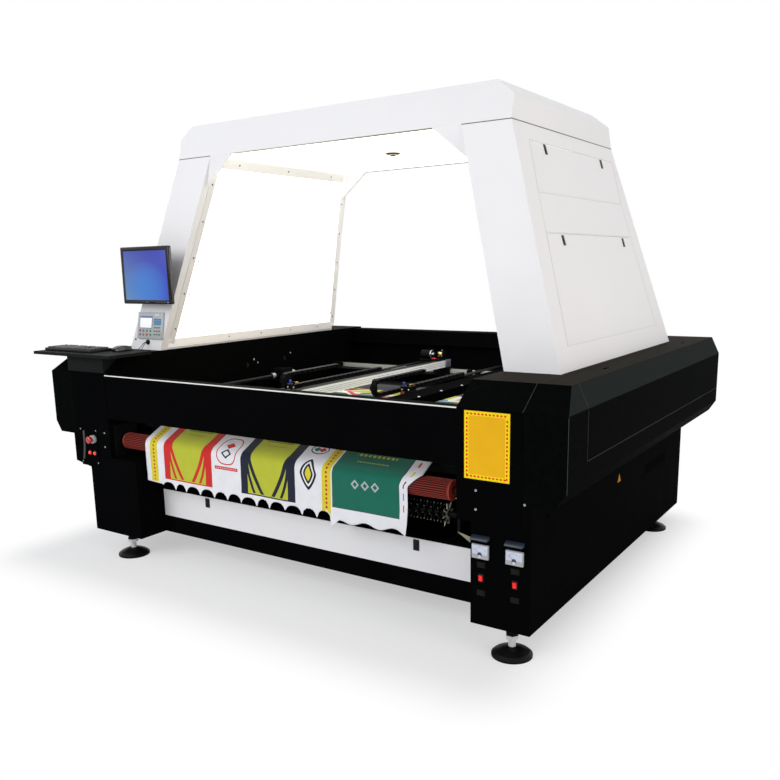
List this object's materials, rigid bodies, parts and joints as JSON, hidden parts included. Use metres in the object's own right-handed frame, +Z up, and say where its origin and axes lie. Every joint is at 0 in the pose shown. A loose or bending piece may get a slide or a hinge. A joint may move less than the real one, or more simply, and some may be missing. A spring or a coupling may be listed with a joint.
{
  "type": "fabric laser cutting machine",
  "caption": "Floor-standing laser cutter for printed fabric with a conveyor bed, sliding gantries in a tub and a white light portal with a camera above.",
  "frame": {"origin": "middle of the bounding box on the floor", "axes": "+X to the right across the width seen from the front, +Y from the front face to the back, +Z up"},
  "size_m": [3.105, 2.364, 2.288],
  "materials": {
    "black_coat": "satin black powder coat",
    "textured_coat": "grained black powder coat",
    "silver_trim": "brushed",
    "white_coat": "satin white powder coat",
    "dark_iron": "painted black",
    "red_rubber": "ribbed matt brick red",
    "steel": "ground bright",
    "belt_mesh": "woven wire mesh",
    "galvanised": "plain steel tube",
    "printed_cloth": "printed knitted polyester",
    "aluminium_beam": "clear anodised",
    "dark_steel": "black oxide",
    "brass_head": "turned brass and anodised blocks",
    "tube_glass": "clear borosilicate",
    "diffuser": "milky diffuser, lit from behind",
    "camera_white": "white housing",
    "gloss_black": "glossy black bezel",
    "grey_plastic": "membrane keypad",
    "black_plastic": "fine grained black",
    "cable_black": "smooth black jacket",
    "red_button": "glossy red",
    "red_lamp": "red lens, lit",
    "meter_face": "clear front over a white dial",
    "yellow_plate": "printed yellow enamel",
    "foot_rubber": "black moulded pad",
    "stud_steel": "zinc plated",
    "screw_steel": "zinc plated"
  },
  "bodies": {
    "machine": {"left_pedestal": "black_coat", "right_pedestal": "black_coat", "left_upper_body": "black_coat", "right_upper_body": "black_coat", "column_covers": "black_coat", "front_beam": "black_coat", "front_lip": "silver_trim", "rear_beam": "black_coat", "lower_beams": "black_coat", "bearing_blocks": "dark_iron", "mesh_belt": "belt_mesh", "bed_frame": "galvanised", "printed_fabric": "printed_cloth", "x_rails": "steel", "drive_units": "dark_iron", "laser_tubes": "tube_glass", "left_tower": "white_coat", "right_tower": "white_coat", "cap": "white_coat", "light_panels": "diffuser", "camera": "camera_white", "monitor_arm": "dark_steel", "keypad": "grey_plastic", "tray": "black_coat", "keyboard": "black_plastic", "mouse": "black_plastic", "mouse_cable": "cable_black", "keyboard_cable": "cable_black", "control_box": "black_coat", "meters": "meter_face", "warning_plate": "yellow_plate", "foot_pads": "foot_rubber", "foot_studs": "stud_steel", "cover_screws": "screw_steel"},
    "left_cover": {"left_side_cover": "textured_coat"},
    "right_cover": {"right_side_cover": "textured_coat"},
    "front_panel": {"front_panel": "white_coat"},
    "feed_roller": {"feed_roller": "red_rubber"},
    "spiked_shaft": {"spiked_shaft": "steel"},
    "front_drum": {"front_drum": "steel"},
    "rear_drum": {"rear_drum": "steel"},
    "left_drive": {"left_drive_shaft": "steel"},
    "right_drive": {"right_drive_shaft": "steel"},
    "gantry_1": {"gantry_1_beam": "aluminium_beam", "gantry_1_fittings": "dark_steel"},
    "head_1": {"gantry_1_head": "brass_head"},
    "gantry_2": {"gantry_2_beam": "black_coat", "gantry_2_fittings": "dark_steel"},
    "head_2": {"gantry_2_head": "brass_head"},
    "left_upper_door": {"left_upper_door": "white_coat"},
    "left_lower_door": {"left_lower_door": "white_coat"},
    "right_upper_door": {"right_upper_door": "white_coat"},
    "right_lower_door": {"right_lower_door": "white_coat"},
    "monitor": {"monitor": "gloss_black"},
    "emergency_stop": {"emergency_stop": "red_button"},
    "start_button": {"start_button": "red_lamp"},
    "pause_button": {"pause_button": "red_lamp"},
    "left_rocker": {"left_rocker": "red_button"},
    "right_rocker": {"right_rocker": "red_button"},
    "pedestal_door": {"pedestal_door": "black_coat"}
  },
  "joints": [
    {"name": "gantry_1_travel", "type": "slide", "parent": "machine", "child": "gantry_1", "axis": [1, 0, 0], "range_m": [-0.58, 0.1]},
    {"name": "gantry_2_travel", "type": "slide", "parent": "machine", "child": "gantry_2", "axis": [1, 0, 0], "range_m": [-0.15, 0.38]},
    {"name": "head_1_travel", "type": "slide", "parent": "gantry_1", "child": "head_1", "axis": [0, 1, 0], "range_m": [-0.36, 1.22]},
    {"name": "head_2_travel", "type": "slide", "parent": "gantry_2", "child": "head_2", "axis": [0, 1, 0], "range_m": [-0.56, 1.02]},
    {"name": "left_drive_spin", "type": "hinge", "parent": "machine", "child": "left_drive", "pos_m": [-0.9375, 0.022, 0.845], "axis": [0, 1, 0], "range_deg": [-1960, 340]},
    {"name": "right_drive_spin", "type": "hinge", "parent": "machine", "child": "right_drive", "pos_m": [1.0325, 0.022, 0.845], "axis": [0, 1, 0], "range_deg": [-510, 1290]},
    {"name": "feed_roller_spin", "type": "hinge", "parent": "machine", "child": "feed_roller", "pos_m": [0.0475, -1.038, 0.629], "axis": [1, 0, 0], "continuous": true},
    {"name": "spiked_shaft_spin", "type": "hinge", "parent": "machine", "child": "spiked_shaft", "pos_m": [0.0475, -1.038, 0.526], "axis": [1, 0, 0], "continuous": true},
    {"name": "front_drum_spin", "type": "hinge", "parent": "machine", "child": "front_drum", "pos_m": [0.0475, -0.898, 0.7], "axis": [1, 0, 0], "continuous": true},
    {"name": "rear_drum_spin", "type": "hinge", "parent": "machine", "child": "rear_drum", "pos_m": [0.0475, 0.942, 0.7], "axis": [1, 0, 0], "continuous": true},
    {"name": "left_cover_hinge", "type": "hinge", "parent": "machine", "child": "left_cover", "pos_m": [-1.4575, 0.022, 0.7923], "axis": [0, -1, 0], "range_deg": [0, 100]},
    {"name": "right_cover_hinge", "type": "hinge", "parent": "machine", "child": "right_cover", "pos_m": [1.5525, 0.022, 0.7923], "axis": [0, 1, 0], "range_deg": [0, 100]},
    {"name": "front_panel_hinge", "type": "hinge", "parent": "machine", "child": "front_panel", "pos_m": [0.0475, -0.967, 0.2173], "axis": [1, 0, 0], "range_deg": [0, 100]},
    {"name": "pedestal_door_hinge", "type": "hinge", "parent": "machine", "child": "pedestal_door", "pos_m": [1.4175, -0.2383, 0.4], "axis": [0, 0, 1], "range_deg": [0, 110]},
    {"name": "left_upper_door_hinge", "type": "hinge", "parent": "machine", "child": "left_upper_door", "pos_m": [-1.0396, 0.022, 1.8263], "axis": [0, -1, 0], "range_deg": [0, 100]},
    {"name": "left_lower_door_hinge", "type": "hinge", "parent": "machine", "child": "left_lower_door", "pos_m": [-1.23255, 0.022, 1.1903], "axis": [0, -1, 0], "range_deg": [0, 100]},
    {"name": "right_upper_door_hinge", "type": "hinge", "parent": "machine", "child": "right_upper_door", "pos_m": [1.1346, 0.022, 1.8263], "axis": [0, 1, 0], "range_deg": [0, 100]},
    {"name": "right_lower_door_hinge", "type": "hinge", "parent": "machine", "child": "right_lower_door", "pos_m": [1.32755, 0.022, 1.1903], "axis": [0, 1, 0], "range_deg": [0, 100]},
    {"name": "monitor_tilt", "type": "hinge", "parent": "machine", "child": "monitor", "pos_m": [-1.0355, -0.726, 1.5], "axis": [1, 0, 0], "range_deg": [-10, 20]},
    {"name": "emergency_stop_press", "type": "slide", "parent": "machine", "child": "emergency_stop", "axis": [0, 1, 0], "range_m": [0, 0.006], "stiffness_N_per_m": 600},
    {"name": "start_button_press", "type": "slide", "parent": "machine", "child": "start_button", "axis": [0, 1, 0], "range_m": [0, 0.003], "stiffness_N_per_m": 300},
    {"name": "pause_button_press", "type": "slide", "parent": "machine", "child": "pause_button", "axis": [0, 1, 0], "range_m": [0, 0.003], "stiffness_N_per_m": 300},
    {"name": "left_rocker_tilt", "type": "hinge", "parent": "machine", "child": "left_rocker", "pos_m": [1.2095, -1.142, 0.323], "axis": [1, 0, 0], "range_deg": [-12, 0]},
    {"name": "right_rocker_tilt", "type": "hinge", "parent": "machine", "child": "right_rocker", "pos_m": [1.3545, -1.142, 0.323], "axis": [1, 0, 0], "range_deg": [-12, 0]}
  ],
  "couplings": [
    {"joint": "left_drive_spin", "follows": "gantry_1_travel", "rad_per_m": 58.309},
    {"joint": "right_drive_spin", "follows": "gantry_2_travel", "rad_per_m": 58.309},
    {"joint": "spiked_shaft_spin", "follows": "feed_roller_spin", "ratio": 1},
    {"joint": "front_drum_spin", "follows": "feed_roller_spin", "ratio": 0.98},
    {"joint": "rear_drum_spin", "follows": "feed_roller_spin", "ratio": 0.98}
  ]
}
